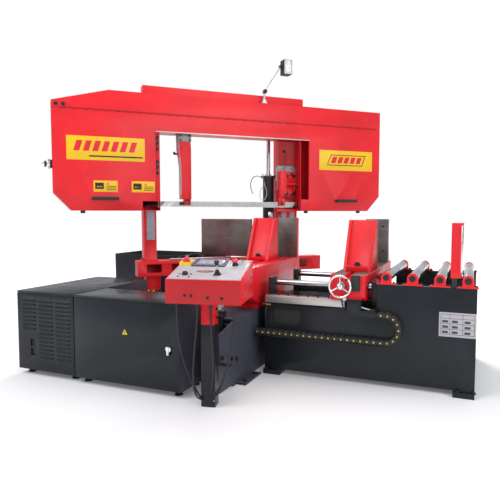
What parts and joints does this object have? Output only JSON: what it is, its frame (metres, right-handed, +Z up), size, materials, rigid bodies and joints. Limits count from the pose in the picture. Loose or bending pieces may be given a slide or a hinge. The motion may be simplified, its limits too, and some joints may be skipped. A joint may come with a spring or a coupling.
{
  "type": "band saw",
  "caption": "Large double-column mitring horizontal band saw with swivelling bow, hydraulic vises, feed carriage, roller table, console and cabinets.",
  "frame": {"origin": "on the floor under the swivel axis of the gantry", "axes": "+Z up; stock is fed along -X, from the roller table to the outfeed table; the operator's side is -Y"},
  "size_m": [3.766, 3.272, 2.9494],
  "materials": {
    "red_paint": "semi-gloss machine enamel",
    "dark_paint": "satin slate-grey enamel",
    "side_paint": "satin blue-grey enamel",
    "jaw_steel": "ground steel with fine lines",
    "ground_steel": "ground bright steel",
    "chrome": "polished hard chrome",
    "blade_steel": "bright spring steel",
    "wheel_iron": "painted cast iron",
    "black_plastic": "matt black",
    "black_steel": "satin black",
    "motor_paint": "satin dark grey",
    "gear_paint": "semi-gloss dark red",
    "panel_grey": "satin light grey",
    "cable_rubber": "matt black",
    "red_plastic": "glossy",
    "green_plastic": "glossy",
    "roller_steel": "turned and polished",
    "lamp_metal": "satin",
    "lamp_plastic": "satin black",
    "panel_white": "satin",
    "tank_paint": "satin"
  },
  "bodies": {
    "root": {"base_frame": "side_paint", "main_vise": "red_paint", "fixed_jaws": "jaw_steel", "outfeed_table": "dark_paint", "hydraulic_cabinet": "dark_paint", "power_pack": "tank_paint", "electrical_cabinet": "dark_paint", "electrical_panel": "panel_white", "feed_table": "dark_paint", "roller_blocks": "red_paint", "feed_rail": "ground_steel", "guide_rods": "chrome", "rod_supports": "black_steel", "guide_post": "red_paint", "chain_lower": "black_plastic", "valve_block": "black_steel", "console_post": "side_paint", "console_head": "red_paint", "console_panel": "panel_grey", "cable_1": "cable_rubber", "cable_2": "cable_rubber", "cable_3": "cable_rubber", "cable_4": "cable_rubber"},
    "gantry": {"swivel_arm": "red_paint", "columns": "red_paint", "lift_cylinder": "black_steel"},
    "bow": {"lift_rod": "chrome", "bow_body": "red_paint", "bow_top_box": "red_paint", "blade": "blade_steel", "gearbox": "gear_paint", "drive_motor": "motor_paint", "tension_unit": "black_steel", "fixed_guide": "red_paint"},
    "bow_door": {"bow_door": "red_paint"},
    "drive_wheel": {"drive_wheel": "wheel_iron"},
    "idler_wheel": {"idler_wheel": "wheel_iron"},
    "guide_arm": {"guide_arm": "red_paint"},
    "lamp_arm": {"lamp_arm": "lamp_metal"},
    "lamp_head": {"lamp_head": "lamp_plastic"},
    "main_jaw": {"main_jaw": "red_paint"},
    "feed_carriage": {"feed_carriage": "red_paint", "feed_rear_jaw": "jaw_steel"},
    "feed_jaw": {"feed_jaw": "red_paint"},
    "handwheel": {"handwheel": "chrome"},
    "chain_loop": {"chain_loop": "black_plastic"},
    "roller_1": {"roller_1": "roller_steel"},
    "roller_2": {"roller_2": "roller_steel"},
    "roller_3": {"roller_3": "roller_steel"},
    "roller_4": {"roller_4": "roller_steel"},
    "guide_roller": {"guide_roller": "roller_steel"},
    "hydraulic_door": {"hydraulic_door": "dark_paint"},
    "electrical_door": {"electrical_door": "dark_paint"},
    "door_lock": {"door_lock": "chrome"},
    "isolator": {"isolator": "red_plastic"},
    "emergency_stop": {"emergency_stop": "red_plastic"},
    "start_button": {"start_button": "green_plastic"},
    "stop_button": {"stop_button": "black_plastic"},
    "mode_knob": {"mode_knob": "black_plastic"},
    "joystick": {"joystick": "black_plastic"}
  },
  "joints": [
    {"name": "gantry_swivel", "type": "hinge", "parent": "root", "child": "gantry", "pos_m": [0, 0, 0], "axis": [0, 0, 1], "range_deg": [0, 45]},
    {"name": "bow_lift", "type": "slide", "parent": "gantry", "child": "bow", "axis": [0, 0, 1], "range_m": [-0.54, 0]},
    {"name": "bow_door_hinge", "type": "hinge", "parent": "bow", "child": "bow_door", "pos_m": [0.0693, -0.0693, 2.294], "axis": [-0.7071, -0.7071, 0], "range_deg": [0, 80]},
    {"name": "drive_spin", "type": "hinge", "parent": "bow", "child": "drive_wheel", "pos_m": [0.74105, 0.74105, 1.816], "axis": [-0.7071, 0.7071, 0], "continuous": true},
    {"name": "idler_spin", "type": "hinge", "parent": "bow", "child": "idler_wheel", "pos_m": [-1.10662, -1.10662, 1.816], "axis": [-0.7071, 0.7071, 0], "continuous": true},
    {"name": "guide_arm_slide", "type": "slide", "parent": "bow", "child": "guide_arm", "axis": [0.7071, 0.7071, 0], "range_m": [0, 0.6]},
    {"name": "lamp_arm_hinge", "type": "hinge", "parent": "bow", "child": "lamp_arm", "pos_m": [0.06223, -0.01414, 2.609], "axis": [-0.7071, 0.7071, 0], "range_deg": [-35, 35]},
    {"name": "lamp_head_hinge", "type": "hinge", "parent": "lamp_arm", "child": "lamp_head", "pos_m": [0.19311, 0.11674, 2.88341], "axis": [-0.7071, 0.7071, 0], "range_deg": [-45, 30]},
    {"name": "main_jaw_slide", "type": "slide", "parent": "root", "child": "main_jaw", "axis": [0, 1, 0], "range_m": [-0.54, 0.235]},
    {"name": "feed_slide", "type": "slide", "parent": "root", "child": "feed_carriage", "axis": [1, 0, 0], "range_m": [-0.42, 0]},
    {"name": "feed_jaw_slide", "type": "slide", "parent": "feed_carriage", "child": "feed_jaw", "axis": [0, 1, 0], "range_m": [-0.26, 0.57]},
    {"name": "handwheel_spin", "type": "hinge", "parent": "feed_carriage", "child": "handwheel", "pos_m": [1.16, -1.21, 0.782], "axis": [0, 1, 0], "continuous": true},
    {"name": "chain_slide", "type": "slide", "parent": "root", "child": "chain_loop", "axis": [1, 0, 0], "range_m": [-0.21, 0], "deforming": ["chain_lower"]},
    {"name": "roller_1_spin", "type": "hinge", "parent": "root", "child": "roller_1", "pos_m": [1.493, 0, 0.856], "axis": [0, 1, 0], "continuous": true},
    {"name": "roller_2_spin", "type": "hinge", "parent": "root", "child": "roller_2", "pos_m": [1.687, 0, 0.856], "axis": [0, 1, 0], "continuous": true},
    {"name": "roller_3_spin", "type": "hinge", "parent": "root", "child": "roller_3", "pos_m": [1.881, 0, 0.856], "axis": [0, 1, 0], "continuous": true},
    {"name": "roller_4_spin", "type": "hinge", "parent": "root", "child": "roller_4", "pos_m": [2.075, 0, 0.856], "axis": [0, 1, 0], "continuous": true},
    {"name": "guide_roller_spin", "type": "hinge", "parent": "root", "child": "guide_roller", "pos_m": [2.005, -1.042, 1], "axis": [0, 0, 1], "continuous": true},
    {"name": "hydraulic_door_hinge", "type": "hinge", "parent": "root", "child": "hydraulic_door", "pos_m": [-0.81, -1.935, 0], "axis": [0, 0, 1], "range_deg": [0, 90]},
    {"name": "electrical_door_hinge", "type": "hinge", "parent": "root", "child": "electrical_door", "pos_m": [-0.79, -1.95, 0], "axis": [0, 0, -1], "range_deg": [0, 90]},
    {"name": "door_lock_turn", "type": "hinge", "parent": "electrical_door", "child": "door_lock", "pos_m": [0.08, -1.95, 0.361], "axis": [0, 1, 0], "range_deg": [0, 90]},
    {"name": "isolator_turn", "type": "hinge", "parent": "root", "child": "isolator", "pos_m": [0.18282, -1.85854, 0.98304], "axis": [-0.0461, 0.2167, -0.9751], "range_deg": [0, 90]},
    {"name": "emergency_stop_press", "type": "slide", "parent": "root", "child": "emergency_stop", "axis": [-0.0461, 0.2167, -0.9751], "range_m": [0, 0.005]},
    {"name": "start_button_press", "type": "slide", "parent": "root", "child": "start_button", "axis": [-0.0461, 0.2167, -0.9751], "range_m": [0, 0.004], "stiffness_N_per_m": 500, "springref_m": -0.003},
    {"name": "stop_button_press", "type": "slide", "parent": "root", "child": "stop_button", "axis": [-0.0461, 0.2167, -0.9751], "range_m": [0, 0.004], "stiffness_N_per_m": 500, "springref_m": -0.003},
    {"name": "mode_knob_turn", "type": "hinge", "parent": "root", "child": "mode_knob", "pos_m": [0.28855, -2.06736, 0.93164], "axis": [-0.0461, 0.2167, -0.9751], "range_deg": [-60, 60]},
    {"name": "joystick_tilt", "type": "hinge", "parent": "root", "child": "joystick", "pos_m": [0.5062, -2.00913, 0.9343], "axis": [0.9781, 0.2079, 0], "range_deg": [-15, 15], "stiffness_Nm_per_rad": 3}
  ],
  "couplings": [
    {"joint": "idler_spin", "follows": "drive_spin", "ratio": 1},
    {"joint": "chain_slide", "follows": "feed_slide", "ratio": 0.5}
  ]
}
